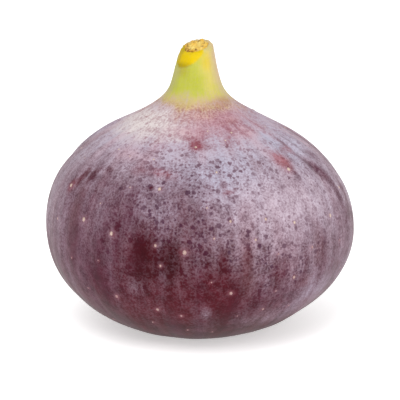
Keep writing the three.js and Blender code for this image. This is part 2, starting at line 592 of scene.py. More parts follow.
BLOOM_STROKES = [
    Stroke("right cheek", 44, 27.5, 11, 6, 0.76, soft=0.7),
    Stroke("under the right cheek", 42, 20.5, 13, 5, 0.34),
    Stroke("low right", 50, 12, 11, 6, 0.2),
    Stroke("lilac band low right", 52, 11, 5, 2.2, 0.3),
    # The rim strokes thicken the bloom along the right edge: partly real bloom, partly a painted
    # reflection of the white surround.
    Stroke("right rim", 88, 26, 3.6, 8, 0.9, soft=0.5),
    Stroke("lower right rim", 80, 15, 5, 6, 0.3, soft=1.0),
    Stroke("crown", 17, 31.5, 6.5, 4.6, 0.64),
    Stroke("right shoulder", 38, 35, 5, 3, 0.45),
    Stroke("left flank", -54, 19, 10, 11, 0.05),
    Stroke("right flank", 68, 27, 5, 6, 0.2),
    Stroke("tongue from the crown", 13, 25.5, 4, 4.5, 0.32),
    # Thicker bloom on the left edge: partly real bloom, partly a painted reflection of the white
    # surround.
    Stroke("left rim", -79, 26, 4, 8, 0.45),
    Stroke("left veil", -64, 24, 4, 8, 0.16),
    Stroke("veil on the left", -44, 25.5, 2.5, 3.5, 0.12),
    Stroke("dotted veil left of the middle", -16, 28, 2.6, 3, 0.22),
    Stroke("veil between the dark patches", -13.5, 18, 0.8, 4, 0.16),
    Stroke("smear at the foot", 4, 9.4, 0.8, 1.5, 0.3),
    Stroke("left shoulder", -62, 37.8, 8, 3, 0.8),
    Stroke("far left foot of the neck", -66, 40.8, 4.5, 1.8, 0.8),
    Stroke("crown, higher", 14, 36.2, 2.4, 2.4, 0.6),
    Stroke("left of the red spot", -15, 36.4, 2, 2, 0.5),
    Stroke("right of the rose scratch", 37, 37.2, 1.6, 1.6, 0.5),
    Stroke("low right edge", 46, 7.5, 9, 3, 0.22),
    Stroke("bare foot of the neck", 12, 41.2, 5, 1.4, -0.6),
    Stroke("rubbed under the neck", -2, 37.9, 1.8, 0.8, -0.45),
    Stroke("dark front left", -19.5, 18, 3.2, 5, -1.0, soft=0.35),
    Stroke("dark middle", -9, 19.2, 2.0, 3.6, -1.0, soft=0.35),
    Stroke("dark low left", -16, 12.5, 4.4, 3.6, -0.8),
    Stroke("wine low middle", 6, 13.5, 6.0, 4.2, -0.75, soft=0.6),
    Stroke("dark mark on the left flank", -31, 24.5, 0.45, 0.9, -0.9, soft=0.4),
    Stroke("streak far left", -55.5, 22.0, 1.9, 7.5, -0.85, soft=0.7),
    Stroke("foot of the far left streak", -54, 19.3, 1.1, 3.6, -0.8, soft=0.6),
    Stroke("pale beside the far left streak", -66, 23.5, 1.4, 5.5, 0.2),
    Stroke("brown low left flank", -42, 13, 3, 4, -0.4),
    Stroke("rub far left", -53.5, 31.2, 0.8, 2.0, -0.8, tilt=12, soft=0.4),
    Stroke("second rub far left", -59, 30.6, 0.7, 1.8, -0.7, tilt=12, soft=0.4),
    Stroke("third rub on the left", -64, 29.0, 0.8, 1.4, -0.6, tilt=12, soft=0.5),
    Stroke("fourth rub on the left", -46, 32.6, 0.9, 0.7, -0.6, soft=0.4),
    Stroke("streak left", -31, 16.0, 0.9, 6.0, -0.9, soft=0.5),
    Stroke("veil under the dark patch", -24, 14.0, 1.4, 1.4, 0.12),
    Stroke("streak left of the middle", -28, 28, 0.9, 3.4, -0.45),
    Stroke("streak at the middle, high", -5, 28.5, 0.9, 4, -0.35),
    Stroke("streak in the middle", 4, 15.5, 0.8, 3.4, -0.7, soft=0.5),
    Stroke("streak right of the middle", 10, 18.6, 0.9, 3.4, -0.75, soft=0.5),
    Stroke("brown streak right", 19, 18, 1.0, 5, -0.75, soft=0.6),
    Stroke("dark drops on the right", 32, 16.5, 1.6, 3, -0.5),
    Stroke("more dark drops on the right", 43, 18, 1.0, 3, -0.3),
    Stroke("streak on the right", 51.5, 19, 1.8, 4.4, -0.6, soft=0.8),
    Stroke("low right hollow", 34, 10, 5, 2.5, -0.4),
    # The fold strokes rub bloom off along the folds of the right shoulder: partly real, partly painted
    # shade where the folds shade themselves.
    Stroke("right shoulder fold", 69, 30.8, 1.1, 3.6, -0.9, tilt=-22, soft=0.6),
    Stroke("top of the right shoulder fold", 64.5, 35.3, 0.5, 2.6, -0.6, tilt=-4, soft=0.7),
    Stroke("foot of the right shoulder fold", 72, 26.5, 0.7, 2.4, -0.5, soft=0.7),
    Stroke("second right shoulder fold", 76, 32.9, 0.8, 1.8, -0.75, tilt=-10, soft=0.6),
    Stroke("fold along the right rim", 91, 33.6, 0.6, 4, -0.8, tilt=30, soft=0.6),
    Stroke("fold down the right rim", 78, 25.8, 0.4, 3.6, -0.35, tilt=10, soft=0.7),
    Stroke("ray from the neck", 30, 38.6, 0.5, 2.0, -0.4, tilt=-8, soft=0.7),
    Stroke("second ray from the neck", 41, 38.2, 0.45, 2.2, -0.45, tilt=-10, soft=0.7),
    Stroke("third ray from the neck", 50, 38.6, 0.45, 1.6, -0.4, tilt=-6, soft=0.7),
    Stroke("fourth ray from the neck", 64, 38.6, 0.4, 2.2, -0.35, tilt=-4, soft=0.7),
    Stroke("pale ray beside the fold", 57, 36.4, 0.8, 2.0, 0.5, tilt=-6),
    Stroke("pale ray from the neck", 47, 37.4, 0.7, 2.6, 0.6, tilt=-10),
    Stroke("second pale ray from the neck", 36, 37.4, 0.7, 2.2, 0.6, tilt=-8),
    Stroke("powder beside the rose streak", 43, 35.4, 1.4, 1.6, 0.5),
    Stroke("powder under the rose streak", 54, 31.2, 1.2, 1.4, 0.4),
    Stroke("powder between fold and rim", 76, 29.0, 0.7, 2.6, 0.4),
    Stroke("specks high on the right rim", 97, 36.2, 1.4, 1.6, -0.5, soft=0.6),
    Stroke("lilac between the folds", 68, 34.6, 1.6, 1.6, 0.45),
    Stroke("lilac beside the rose streak", 58, 32.6, 1.4, 1.0, 0.5),
    Stroke("red spot under the neck", 0, 37.0, 1.1, 1.1, -0.75, soft=0.5),
    Stroke("red patch high left", -9, 38.2, 1.8, 0.9, -0.15),
    Stroke("red patch high right", 12, 38.6, 3.0, 0.9, -0.45),
    Stroke("red specks at the right foot of the neck", 36, 39.6, 3.0, 1.0, -0.3),
    Stroke("rose streak on the right shoulder", 48.5, 34.0, 1.3, 2.5, -0.7, tilt=-6, soft=0.6),
    Stroke("plum end of the rose streak", 50.6, 31.9, 0.5, 1.3, -0.4, tilt=-12, soft=0.6),
    Stroke("pink beside the rose streak", 60, 34.9, 1.3, 0.9, -0.4, soft=0.7),
    Stroke("far left shoulder", -76, 37, 5, 2.8, 0.7),
    Stroke("left shoulder, lower", -58, 36.2, 4, 1.2, 0.4),
    Stroke("rubbed right of the red spot", 5, 36.8, 1.3, 1.0, -0.4),
    Stroke("rubbed on the right crown", 25, 37.0, 1.6, 0.8, -0.3),
    Stroke("powder high in the middle", 15, 38.7, 1.6, 0.8, 0.4),
    Stroke("powder high left of the middle", -8, 38.3, 2.4, 0.6, 0.3),
    Stroke("powder over the smudge", 36, 36.5, 1.8, 1.2, 0.4),
    Stroke("powder left of the middle", -15, 35.3, 1.6, 0.9, 0.4),
    Stroke("powder on the left", -44, 35.2, 2.2, 0.9, 0.3),
    Stroke("powder over the pink patch", -25, 34.9, 1.8, 0.7, 0.3),
    Stroke("powder on the right shoulder", 50, 37.0, 2.2, 0.9, 0.3),
    Stroke("thinner on the right cheek", 44, 30.0, 2.6, 1.8, -0.18),
    Stroke("thinner low on the right cheek", 44, 23.0, 3.0, 2.6, -0.16),
    Stroke("thinner in the middle", 5, 23.5, 1.6, 3.0, -0.18),
    Stroke("thinner on the right flank", 65, 20.5, 2.0, 2.6, -0.25),
    Stroke("thinner low on the right flank", 56, 15.6, 1.8, 1.6, -0.25),
    Stroke("thinner low on the right", 44, 12.0, 4.0, 2.6, -0.2),
    Stroke("veil on the upper right crown", 15, 38.2, 1.4, 1.4, 0.35),
    Stroke("veil on the right crown", 35, 36.8, 1.6, 1.6, 0.45),
    Stroke("thinner at the upper middle", 4, 31.2, 1.4, 1.4, -0.25),
    Stroke("veil on the left crown", -15, 35.6, 1.6, 1.0, 0.4),
    Stroke("veil left under the neck", -6, 38.4, 1.4, 0.7, 0.45),
    Stroke("blue veil in the middle", -3, 26.5, 2.6, 3.6, 0.09),
    Stroke("blue veil left of the middle", -12, 25.0, 1.8, 2.0, 0.06),
    Stroke("specks high on the right flank", 76, 36.4, 1.4, 1.2, -0.25),
    Stroke("rubbed at the left of the neck", -42, 38.4, 2.0, 0.8, -0.25),
    Stroke("veil left of the crown", -25, 34.0, 1.4, 0.8, 0.35),
    Stroke("bloom at the foot of the neck", 20, 41.0, 5.0, 0.9, 0.25),
    Stroke("bloom at the left foot of the neck", -20, 41.0, 3.0, 0.8, 0.2),
    Stroke("rose scratch", 26, 37.8, 1.2, 0.5, -0.4, tilt=-35, soft=0.5),
    Stroke("smudge right of the crown", 33, 34, 1.4, 1.2, -0.32, soft=0.6),
    Stroke("oval on the crown", 12, 31.7, 1.0, 0.55, -0.45, soft=0.3),
    Stroke("second oval on the crown", 14, 30.6, 0.9, 0.5, -0.4, soft=0.3),
    Stroke("small oval on the crown", 17.5, 31.0, 0.5, 0.3, -0.6, soft=0.3),
    Stroke("third oval on the crown", 15, 29.7, 0.8, 0.55, -0.35, soft=0.3),
    Stroke("oval left of the crown", -15, 33.0, 1.4, 0.5, -0.3, soft=0.3),
    Stroke("round spot left", -20, 31, 0.5, 0.45, -0.9, soft=0.3),
    Stroke("pink patch high left", -27, 33.4, 2.4, 1.4, -0.25),
    Stroke("dusk under the left shoulder", -42, 31.2, 2.6, 1.6, -0.3),
    Stroke("dusk on the left flank", -46, 27.0, 1.6, 3.0, -0.25),
    Stroke("dusk down the left flank", -66, 20.5, 1.2, 5.0, -0.3),
    Stroke("dark foot of the left flank", -39, 13.5, 2.2, 3.6, -0.75),
]

WAX_STROKES = [
    Stroke("cream wax on the left shoulder", -64, 39.2, 10, 4.0, 0.9, hue=Hue.CREAM_WAX),
    Stroke("cream wax above the middle", -18, 38.2, 3, 2, 0.4, hue=Hue.CREAM_WAX),
    Stroke("blue wax on the crown", 8, 32.5, 9, 4.5, 0.85, hue=Hue.BLUE_WAX),
    Stroke("blue wax left of the middle", -16, 26.5, 8, 5, 0.7, hue=Hue.BLUE_WAX),
    Stroke("pink wax on the right cheek", 38, 28, 10, 6, 0.7, hue=Hue.PINK_WAX),
    Stroke("blue wax low right", 56, 12, 9, 4, 0.8, hue=Hue.BLUE_WAX),
    Stroke("blue wax on the right shoulder", 64, 35, 4, 4, 0.7, hue=Hue.BLUE_WAX),
    Stroke("rosy wax right of the neck", 26, 40.0, 5, 2.2, 0.8, hue=Hue.ROSY_WAX),
    Stroke("rosy wax on the left shoulder", -38, 35.0, 4, 1.4, 0.35, hue=Hue.ROSY_WAX),
    Stroke("rosy wax under the neck", -4, 38.6, 3.5, 1.6, 0.6, hue=Hue.ROSY_WAX),
    Stroke("rosy wax on the right crown", 42, 38.2, 4, 1.6, 0.5, hue=Hue.ROSY_WAX),
    # The two grey rim strokes are a painted reflection of the white surround on the edges, not wax.
    Stroke("grey wax on the right rim", 84, 20, 5, 12, 0.7, soft=1.0, hue=Hue.RIM_REFLECTION_GREY),
    Stroke("grey wax on the left rim", -82, 22, 6, 12, 0.7, soft=1.0, hue=Hue.RIM_REFLECTION_GREY),
]

SPOT_STROKES = [
    Stroke("front", 2, 26, 22, 13, 1.0),
    Stroke("right cheek is smoother", 36, 28, 9, 5, -0.45),
    Stroke("left flank is plain", -62, 24, 10, 12, -0.8),
    Stroke("low right is plain", 55, 11.5, 8, 3.5, -0.8),
    Stroke("dotted hollow right", 33, 17, 6, 4, 0.5),
]

CREASES = [
    Stroke("right shoulder fold", 67, 32.4, 0.8, 6, 0.4),
    Stroke("second right shoulder fold", 58, 36.8, 0.7, 4.5, 0.32),
    Stroke("third right shoulder fold", 74, 35.5, 0.8, 5, 0.35),
    Stroke("fourth right shoulder fold", 84, 35, 0.8, 6, 0.4),
    Stroke("left shoulder fold", -70, 37, 0.7, 4, 0.25),
    Stroke("second left shoulder fold", -58, 38, 0.6, 3, 0.2),
    Stroke("fold behind", 128, 35, 0.8, 6, 0.35),
    Stroke("second fold behind", 172, 34, 0.9, 6, 0.35),
    Stroke("third fold behind", -140, 35, 0.8, 6, 0.35),
    Stroke("fourth fold behind", -104, 34, 0.8, 6, 0.35),
    Stroke("streak far left", -57, 22, 1.6, 9, 0.22),
    Stroke("streak left", -33, 16, 1.3, 7, 0.18),
    Stroke("streak right of the middle", 12, 19, 1.3, 7, 0.14),
    Stroke("brown streak right", 20, 17, 1.5, 8, 0.18),
    Stroke("streak on the right", 50, 19, 1.6, 7, 0.2),
]

Dot = tuple[float, float, float]  # bearing, height and diameter

LENTICELS: list[Dot] = [
    (-63, 28.8, 0.75),
    (-48, 24.3, 0.85),
    (-33, 23.1, 0.8),
    (-33, 11.3, 0.7),
    (-16, 30.9, 0.75),
    (-4, 21.1, 0.9),
    (-15, 21.9, 0.6),
    (-16, 9.5, 0.7),
    (-6, 8.6, 0.5),
    (13, 13.4, 0.7),
    (38, 15.0, 0.65),
    (48, 32.6, 0.8),
    (0, 36.8, 0.6),
    (10, 33.5, 0.5),
    (13, 26.2, 0.55),
    (27, 26.0, 0.6),
    (39, 24.7, 0.6),
    (60, 23.9, 0.75),
    (75, 27.3, 0.6),
    (46, 19.8, 0.55),
    (22, 22.8, 0.5),
    (28, 9.2, 0.5),
    (-66, 22.6, 0.45),
    (30, 38.3, 0.5),
    (-13, 18.4, 0.5),
]


class WildMarks:
    """Marks on the sides that no list of strokes names, drawn by chance but the same on every run."""

    front = 78.0  # how far round the larger dots are all listed, so that more drawn there are small
    gap = 3.6  # between two dots, in millimetres
    per_degree = 0.42  # millimetres round the skin

    def __init__(self, seed: int) -> None:
        """Starts the draw."""
        self.draw = random.Random(seed)

    def away(self) -> float:
        """A bearing on the far side."""
        return self.draw.uniform(84, 276)

    def rubs(self, count: int) -> list[Stroke]:
        """Spots, patches and long streaks where the bloom is rubbed off or lies thicker."""
        strokes = [
            Stroke("thick behind the right", 118, 29, 15, 7, 0.7),
            Stroke("thick behind", 195, 31, 13, 6, 0.6),
            Stroke("thick behind the left", -112, 24, 10, 8, 0.4),
            Stroke("thin behind", 160, 17, 12, 7, -0.5),
            Stroke("thin behind the left", -125, 14, 12, 6, -0.4),
            Stroke("veil low behind", 150, 14, 14, 5, 0.3),
            Stroke("veil low behind the left", -150, 10, 10, 4, 0.35),
        ]
        for i in range(count):
            bearing, height = self.away(), self.draw.uniform(7, 37)
            if i % 3:
                size = self.draw.uniform(0.8, 1.7)
                length, strength = self.draw.uniform(2.5, 7), self.draw.uniform(-0.8, -0.3)
                strokes.append(Stroke("streak", bearing, height, size, length, strength))
            else:
                size = self.draw.uniform(0.6, 2.4)
                length, strength = size * self.draw.uniform(0.4, 0.9), self.draw.uniform(-0.85, -0.4)
                strokes.append(Stroke("patch", bearing, height, size, length, strength, soft=0.5))
        return strokes

    def flushes(self, count: int) -> list[Stroke]:
        """Patches where the skin under the bloom is redder or browner."""
        strokes = []
        for _ in range(count):
            hue = self.draw.choice([Hue.RED_WINE, Hue.PLUM, Hue.BROWN, Hue.DEEP_WINE, Hue.RED])
            height = self.draw.uniform(6, 37)
            wide, long = self.draw.uniform(1.2, 5), self.draw.uniform(2, 7)
            strokes.append(Stroke("flush", self.away(), height, wide, long, 0.5, hue=hue))
        return strokes

    def dots(self, count: int, taken: Sequence[Dot]) -> list[Dot]:
        """More lenticels, small in front and of any size behind, none close to another.

        Args:
            count: How many there are in all.
            taken: The ones already placed.

        Returns:
            All of them.
        """
        placed = list(taken)
        while len(placed) < count:
            bearing, height = self.draw.uniform(-180, 180), 3.5 + 36 * self.draw.random()
            turns = [((bearing - other + 180) % 360 - 180) * self.per_degree for other, _, _ in placed]
            away = [math.hypot(turn, height - dot[1]) for turn, dot in zip(turns, placed)]
            if min(away) >= self.gap:
                most = 0.42 if abs(bearing) < self.front else 0.85
                placed.append((bearing, height, self.draw.uniform(0.28, most)))
        return placed


# ---------------------------------------------------------------------------- finishes


def new_finish(name: str) -> tuple[bpy.types.Material, Adder, bpy.types.Node]:
    """A new material, what adds nodes to its tree, and its Principled shader."""
    made = bpy.data.materials.new(name)
    made.use_nodes = True
    return made, partial(put, made.node_tree), made.node_tree.nodes["Principled BSDF"]


@dataclass(frozen=True)
class SkinFinish:
    """Ripe fig skin, grown and unwashed: a thin taut rind under a matt waxy bloom.

    Bare rind is dark and faintly glossy; the bloom is a pale powdery film that hides both, and
    drops of water have left it pitted with small dark marks. Sizes are in millimetres.
    """

    bare_roughness: float = 0.36
    bloom_roughness: float = 0.62
    ior: float = 1.45
    gloss: float = 0.06
    sheen: float = 0.02
    sheen_roughness: float = 0.5
    drop_layers: tuple = (  # cell in mm, then in cells: radius, how rare, softness; and strength
        (1.7, 0.30, 0.45, 0.06, 0.9),
        (1.05, 0.46, 0.0, 0.12, 1.0),
        (0.6, 0.48, 0.0, 0.14, 0.85),
        (0.4, 0.42, 0.0, 0.17, 0.55),
    )
    ring_cell: float = 2.3
    ring_radius: float = 0.17  # in cells, as its half width
    ring_width: float = 0.08
    ring_strength: float = 0.45
    wander_grain: float = 0.5
    wander: float = 0.6
    streak: float = 1.0  # how wide the fine streaks are
    streak_radius: float = 28.0
    streak_squeeze: float = 0.16  # of heights, which draws streaks out
    mottle: float = 2.2  # the size of the mottling, and of the powder's specks
    speckle: float = 0.36
    pore: float = 0.22  # the grain of the skin itself
    bump: float = 0.02  # how deep that grain is
    unevenness: tuple = (0.5, 0.5, 0.22)  # what streaks, mottling and specks do to the bloom
    evening: float = 0.585  # less this, so that they leave it as thick on the whole
    pitted: float = 0.15  # bloom that a drop took away,
    washed: float = 0.92  # and the share of it
    dusk: float = 0.75  # how slaty the skin is in a drop mark

    def material(self) -> bpy.types.Material:
        """Builds the node material.

        Returns:
            The material, reading object coordinates and the skin's painted attributes.
        """
        made, add, shader = new_finish("ripe_fig_skin_with_bloom")
        place = add("TexCoord").outputs["Object"]
        under, wax = (add("Attribute", attribute_name=name) for name in ("under", "wax"))
        bloom, spots, freckles, mottled = (
            add("Attribute", attribute_name=name).outputs["Fac"]
            for name in ("bloom", "spots", "freckles", "mottled")
        )
        drops = self._drops(add, self._wander(add, place))
        streaks = self._streaks(add, place)
        grain = {"Vector": place, "Scale": per_mm(self.mottle), "Detail": 3.0, "Roughness": 0.65}
        mottle = add("TexNoise", grain)
        speckle = add("TexNoise", grain | {"Scale": per_mm(self.speckle), "Detail": 1.5})
        sparse = {"Value": speckle, "From Min": 0.36, "From Max": 0.62}
        speckle = add("MapRange", sparse, interpolation_type="SMOOTHSTEP")

        # How thick the bloom lies: the painted thickness, broken up by streaks, mottling and
        # specks, less what the drops took away. Bare skin stays bare.
        uneven = -self.evening
        for pattern, share in zip((streaks, mottle, speckle), self.unevenness):
            uneven = add("Math", (pattern, share, uneven), operation="MULTIPLY_ADD")
        held = add("MapRange", {"Value": bloom, "From Max": 0.3, "To Min": 0.2})
        broken = add("Math", (uneven, held, bloom), operation="MULTIPLY_ADD")
        marked = add("Math", (drops, spots), operation="MULTIPLY")
        broken = add("Math", (marked, -self.pitted, broken), operation="MULTIPLY_ADD")
        kept = add("Math", (marked, -self.washed, 1.0), operation="MULTIPLY_ADD")
        thick = add("Math", (broken, kept), operation="MULTIPLY", use_clamp=True)

        # The skin under it is mottled, dusky in the drop marks and freckled red round the neck.
        ripe = {"Value": mottle, "From Min": 0.3, "From Max": 0.7, "To Min": -0.28, "To Max": 0.2}
        shade = add("Math", (add("MapRange", ripe), mottled, 1.0), operation="MULTIPLY_ADD")
        dusted = {"Value": bloom, "From Min": 0.05, "From Max": 0.3, "To Max": self.dusk}
        dusk = add("Math", (marked, add("MapRange", dusted)), operation="MULTIPLY")
        specks = add("Math", (speckle, -0.8, 0.8), operation="MULTIPLY_ADD")
        specks = add("Math", (drops, specks), operation="MAXIMUM")
        red = add("Math", (specks, freckles), operation="MULTIPLY")

        film = {"Factor_Float": thick, "A_Color": linear(Hue.THIN_WAX), "B_Color": wax}
        film = add("Mix", film, data_type="RGBA")
        colour = add("VectorMath", {0: under, "Scale": shade}, operation="SCALE")
        for share, layer in ((dusk, linear(Hue.SLATE)), (red, linear(Hue.RED)), (thick, film)):
            laid = {"Factor_Float": share, "A_Color": colour, "B_Color": layer}
            colour = add("Mix", laid, data_type="RGBA")

        pores = add("TexNoise", {"Vector": place, "Scale": per_mm(self.pore), "Detail": 2.0})
        height = add("Math", (marked, -0.9, pores), operation="MULTIPLY_ADD")
        height = add("Math", (streaks, 1.4, height), operation="MULTIPLY_ADD")
        rough = {"Value": thick, "To Min": self.bare_roughness, "To Max": self.bloom_roughness}
        finish = {
            "Base Color": colour,
            "Roughness": add("MapRange", rough),
            "Normal": add("Bump", {"Strength": 1.0, "Distance": self.bump * MM, "Height": height}),
            "IOR": self.ior,
            "Specular IOR Level": self.gloss,
            "Sheen Weight": self.sheen,
            "Sheen Roughness": self.sheen_roughness,
        }
        plug(shader, finish)
        return made

    def _wander(self, add: Adder, place: Socket) -> bpy.types.Node:
        """Object coordinates shaken a little, so that drops aren't perfect rounds."""
        shake = add("TexNoise", {"Vector": place, "Scale": per_mm(self.wander_grain), "Detail": 1.0})
        centred = add("VectorMath", (shake.outputs["Color"], (0.5,) * 3), operation="SUBTRACT")
        return add("VectorMath", (centred, (self.wander * MM,) * 3, place), operation="MULTIPLY_ADD")

    def _drops(self, add: Adder, place: bpy.types.Node) -> bpy.types.Node:
        """Marks of dried drops: round dots of mixed sizes, finer dots between them, and a few rings."""
        rings = add("TexVoronoi", {"Vector": place, "Scale": per_mm(self.ring_cell)})
        off = add("Math", (rings, self.ring_radius), operation="SUBTRACT")
        ring = {
            "Value": add("Math", (off,), operation="ABSOLUTE"),
            "From Min": self.ring_width,
            "From Max": self.ring_width / 4,
            "To Max": self.ring_strength,
        }
        found = add("MapRange", ring, interpolation_type="SMOOTHSTEP")
        for cell, most, rare, soft, strength in self.drop_layers:
            cells = add("TexVoronoi", {"Vector": place, "Scale": per_mm(cell)})
            luck = add("SeparateColor", {"Color": cells.outputs["Color"]})
            reach = add("MapRange", {"Value": luck, "From Min": rare, "To Min": -soft, "To Max": most})
            inside = add("Math", (reach, cells), operation="SUBTRACT")
            dot = {"Value": inside, "From Min": -soft, "From Max": soft, "To Max": strength}
            dot = add("MapRange", dot, interpolation_type="SMOOTHSTEP")
            deep = add("MapRange", {"Value": luck.outputs["Green"], "To Min": 0.5})
            dot = add("Math", (dot, deep), operation="MULTIPLY")
            found = add("Math", (found, dot), operation="MAXIMUM")
        return found

    def _streaks(self, add: Adder, place: Socket) -> bpy.types.Node:
        """Fine streaks from neck to eye: noise on a cylinder round the axis, drawn out in height."""
        flat = add("VectorMath", (place, (1.0, 1.0, 0.0)), operation="MULTIPLY")
        outward = add("VectorMath", (flat,), operation="NORMALIZE")
        rise = add("VectorMath", (place, (0.0, 0.0, self.streak_squeeze)), operation="MULTIPLY")
        radius = (self.streak_radius * MM,) * 3
        drawn = add("VectorMath", (outward, radius, rise), operation="MULTIPLY_ADD")
        grain = {"Vector": drawn, "Scale": per_mm(self.streak), "Detail": 3.0, "Roughness": 0.55}
        return add("TexNoise", grain)


@dataclass(frozen=True)
class FleshFinish:
    """Moist plant tissue, torn or dried: its colour is painted on, fine grain roughens it, and painted
    shade darkens the grain's hollows.
    """

    name: str
    roughness: float
    grain: float  # of the tissue, in millimetres
    depth: float  # of that grain, in millimetres
    # shade is painted shade: it darkens the colour in the grain's hollows
    shade: float  # how much darker the grain's hollows are
    ior: float = 1.42

    def material(self) -> bpy.types.Material:
        """Builds the node material, which reads the attribute "flesh" and object coordinates."""
        made, add, shader = new_finish(self.name)
        place = add("TexCoord").outputs["Object"]
        flesh = add("Attribute", attribute_name="flesh")
        fibres = {"Vector": place, "Scale": per_mm(self.grain), "Detail": 3.0, "Roughness": 0.6}
        grain = add("TexNoise", fibres)
        # Painted shade: the colour darkens where the grain's bump is low.
        light = {"Value": grain, "From Min": 0.3, "From Max": 0.7, "To Min": 1 - self.shade}
        tint = {0: flesh, "Scale": add("MapRange", light)}
        rough = {"Value": grain, "To Min": self.roughness + 0.12, "To Max": self.roughness - 0.08}
        finish = {
            "Base Color": add("VectorMath", tint, operation="SCALE"),
            "Roughness": add("MapRange", rough),
            "Normal": add("Bump", {"Strength": 1.0, "Distance": self.depth * MM, "Height": grain}),
            "IOR": self.ior,
        }
        plug(shader, finish)
        return made


# ---------------------------------------------------------------------------- the pieces


@dataclass
class FigSkin:
    """The fig's whole skin, from the scaly eye to the pocket that holds the cut face of the stalk."""

    outline: Outline = field(default_factory=Outline)
    turns: int = 384
    wedges: int = 16
    ribs: tuple = ((2, 0.16, 60), (5, 0.13, 60), (9, 0.15, 75), (13, 0.12, 140))
    under_wander: float = 1.1  # how far the borders of colour and of bloom wander, in millimetres
    bloom_wander: float = 2.2
    hollow_hold: float = 0.35  # more bloom for each millimetre of hollow
    dot_count: int = 96
    rub_count: int = 60
    flush_count: int = 26
    bulge: float = 0.7
    bulge_height: float = 16.0
    bulge_span: float = 13.0
    cut_fall: float = 0.34
    cut_fall_towards: float = 232.0
    cut_from: float = 47.5
    peel_height: float = 51.6  # of the edge of the peeled band, before it slopes
    peel_fall: float = 3.15  # how much lower that edge is at the side the cut faces
    peel_towards: float = -48.0
    peel_depth: float = 0.16
    peel_soft: float = 0.12
    lip_from: float = 51.1  # where the pale rim of the cut starts and is full
    lip_to: float = 51.6
    axis: Vector = field(default_factory=lambda: Vector((0, 0, 0)))
    piece: bpy.types.Object | None = None
    dots: list = field(default_factory=list)

    def build(self) -> bpy.types.Object:
        """Spins, shapes, paints and dresses the skin.

        Returns:
            The finished piece.
        """
        marks = WildMarks(7)
        self.dots = marks.dots(self.dot_count, LENTICELS)
        shape = bmesh.new()
        self.outline.line(shape)
        self.turn_body(shape)
        self.piece = Seam.finish(shape, "fig_skin")
        mesh = self.piece.data
        spun = place_of(mesh)
        along = read_value(mesh, "along")
        self.unroll(mesh, spun, along)
        grown = self.grow(spun)
        self.centre(grown)
        grown += self.axis
        canvas = Canvas(grown, along, self.outline, self.axis.x)
        lift = self.crease(grown, canvas)
        move_to(mesh, grown)
        self.paint(mesh, canvas, lift, marks)
        mesh.attributes.remove(mesh.attributes["along"])
        mesh.materials.append(SkinFinish().material())
        return self.piece

    def turn_body(self, shape: bmesh.types.BMesh) -> None:
        """Spins the outline through one wedge of the fig and repeats that wedge round the axis.

        Args:
            shape: The bmesh that holds the outline.
        """
        wedge_turn = math.tau / self.wedges
        bmesh.ops.spin(
            shape,
            geom=shape.verts[:] + shape.edges[:],
            cent=ORIGIN,
            axis=UPRIGHT,
            angle=wedge_turn,
            steps=self.turns // self.wedges,
            use_merge=False,
        )
        wedge = shape.verts[:] + shape.edges[:] + shape.faces[:]
        for i in range(1, self.wedges):
            copy = bmesh.ops.duplicate(shape, geom=wedge)["geom"]
            bmesh.ops.rotate(
                shape,
                verts=[v for v in copy if isinstance(v, bmesh.types.BMVert)],
                cent=ORIGIN,
                matrix=Matrix.Rotation(i * wedge_turn, 3, "Z"),
            )

    def unroll(self, mesh: bpy.types.Mesh, spun: np.ndarray, along: np.ndarray) -> None:
        """Gives the skin its own UV map: the front half rolled out flat below, the back half above it.

        The rows are spaced by the skin's area, so that the narrow neck and eye take little room.

        Args:
            mesh: The skin's mesh.
            spun: Its vertices while it is still round, in millimetres.
            along: Their lengths along the outline.
        """
        radius = np.hypot(spun[:, 0], spun[:, 1])
        order = np.argsort(along)
        marks, first = np.unique(np.round(along[order], 3), return_index=True)
        least, fairness = 0.6, 0.6  # millimetres, and how far a row's room follows its width
        width = np.maximum(radius[order][first], least) ** fairness
        area = np.concatenate([[0], np.cumsum(np.diff(marks) * (width[1:] + width[:-1]) / 2)])
        rise = np.interp(along, marks, area / area[-1])
        bearing = np.degrees(np.arctan2(spun[:, 0], -spun[:, 1]))

        corners = np.empty(len(mesh.loops), np.int32)
        mesh.loops.foreach_get("vertex_index", corners)
        sizes = np.empty(len(mesh.polygons), np.int32)
        mesh.polygons.foreach_get("loop_total", sizes)
        face = np.repeat(np.arange(len(sizes)), sizes)
        around = np.radians(bearing[corners])
        solid = radius[corners] > 1e-3
        east = np.bincount(face, np.sin(around) * solid)
        north = np.bincount(face, np.cos(around) * solid)
        middle = np.degrees(np.arctan2(east, north))[face]
        back = np.abs(middle) > 90
        turn = np.where(solid, (bearing[corners] - middle + 180) % 360 - 180, 0) + middle
        turn = np.where(back, (turn + 360) % 360 - 180, turn)
        margin = 0.004
        across = margin + (turn / 180 + 0.5) * (1 - 2 * margin)
        up = margin + rise[corners] * (0.5 - 2 * margin) + 0.5 * back
        layer = mesh.uv_layers.new(name=BAKE_MAP)
        layer.uv.foreach_set("vector", np.stack([across, up], axis=1).astype(np.float32).ravel())

    def grow(self, places: np.ndarray) -> np.ndarray:
        """Ribs, the fuller side and the sloping cut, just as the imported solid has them.

        Args:
            places: Places on the round outline, in millimetres.

        Returns:
            The same places on the grown fig, before it is centred.
        """
        grown = places.copy()
        radius = np.hypot(places[:, 0], places[:, 1])
        turn = np.arctan2(places[:, 1], places[:, 0])
        height = places[:, 2]
        wave = sum(
            lift * np.cos(waves * turn + math.radians(phase)) for waves, lift, phase in self.ribs
        )
        clear = smoothstep(radius, self.outline.seat_radius, self.outline.seat_radius + 8)
        clear = clear * smoothstep(height, self.outline.neck.height, self.outline.shoulder.height)
        stretch = 1 + wave * clear / np.maximum(radius, 1e-6)
        grown[:, 0] = places[:, 0] * stretch
        grown[:, 1] = places[:, 1] * stretch
        grown[:, 0] += self.bulge * np.exp(-(((height - self.bulge_height) / self.bulge_span) ** 2))
        way = math.radians(self.cut_fall_towards)
        level = places[:, 0] * math.cos(way) + places[:, 1] * math.sin(way)
        near_cut = smoothstep(height, self.cut_from, self.outline.cut_height)
        grown[:, 2] -= self.cut_fall * level * near_cut
        return grown

